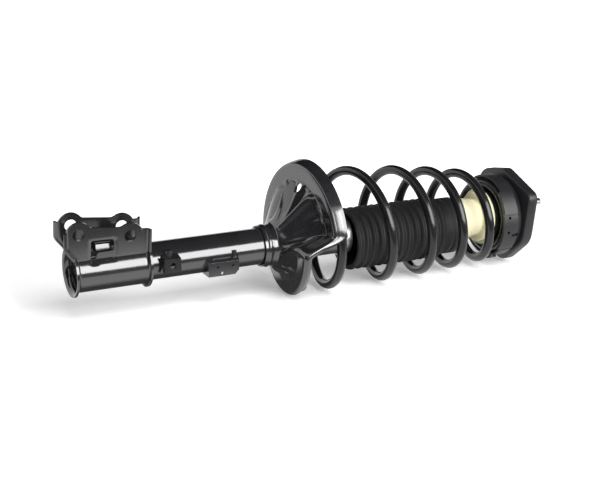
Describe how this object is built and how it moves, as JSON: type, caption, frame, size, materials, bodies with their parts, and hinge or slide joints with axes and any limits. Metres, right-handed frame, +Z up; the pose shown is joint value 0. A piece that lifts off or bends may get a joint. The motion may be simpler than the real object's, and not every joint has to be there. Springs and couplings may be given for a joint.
{
  "type": "strut assembly",
  "caption": "Twin-tube damper strut with a clevis knuckle bracket, conical coil spring, dust boot, bump stop and rubber-bushed upper mount.",
  "frame": {"origin": "centre of the damper tube's closed lower end face, recessed inside the knuckle bracket's foot", "axes": "+X along the damper axis from the knuckle end towards the vehicle body; +Z up with the strut lying on its side, the bracket's bolt ears on top; +Y away from the pictured side"},
  "size_m": [0.6056, 0.1575, 0.1576],
  "materials": {
    "black_paint": "gloss black paint on pressed steel",
    "spring_coat": "semi-gloss black coating on spring wire",
    "boot_rubber": "matte moulded rubber",
    "mount_rubber": "matte moulded rubber over a pressed plate",
    "bump_foam": "moulded microcellular foam",
    "zinc_steel": "bright zinc plate",
    "chrome_rod": "ground and chromed",
    "bare_steel": "machined, oiled",
    "seal_rubber": "matte rubber"
  },
  "bodies": {
    "tube": {"base_cap": "black_paint", "reservoir_tube": "black_paint", "pressure_tube": "bare_steel", "base_valve": "bare_steel", "rod_guide": "bare_steel", "oil_seal": "seal_rubber", "striker_cap": "zinc_steel", "knuckle_bracket": "black_paint", "bracket_strap": "black_paint", "hose_bracket": "black_paint", "sensor_wire_bracket": "black_paint", "spring_seat": "black_paint", "lower_spring_pad": "boot_rubber", "coil_spring": "spring_coat"},
    "rod": {"piston_rod": "chrome_rod", "damper_piston": "bare_steel", "piston_band": "seal_rubber", "piston_nut": "bare_steel", "rebound_stop": "seal_rubber", "bush_sleeve": "zinc_steel", "top_washer": "zinc_steel", "top_nut": "zinc_steel"},
    "mount": {"mount_plate": "mount_rubber", "mount_bush": "seal_rubber", "upper_spring_pad": "mount_rubber", "bump_stop_cup": "black_paint", "bump_stop": "bump_foam", "dust_boot": "boot_rubber", "body_stud_1": "zinc_steel", "body_stud_2": "zinc_steel", "body_stud_3": "zinc_steel"}
  },
  "joints": [
    {"name": "damper_stroke", "type": "slide", "parent": "tube", "child": "rod", "axis": [1, 0, 0], "range_m": [-0.117, 0], "stiffness_N_per_m": 20000, "deforming": ["coil_spring", "dust_boot"]},
    {"name": "mount_twist", "type": "hinge", "parent": "rod", "child": "mount", "pos_m": [0.5557, 0, 0], "axis": [1, 0, 0], "range_deg": [-10, 10], "stiffness_Nm_per_rad": 25, "deforming": ["mount_bush", "coil_spring"]}
  ]
}
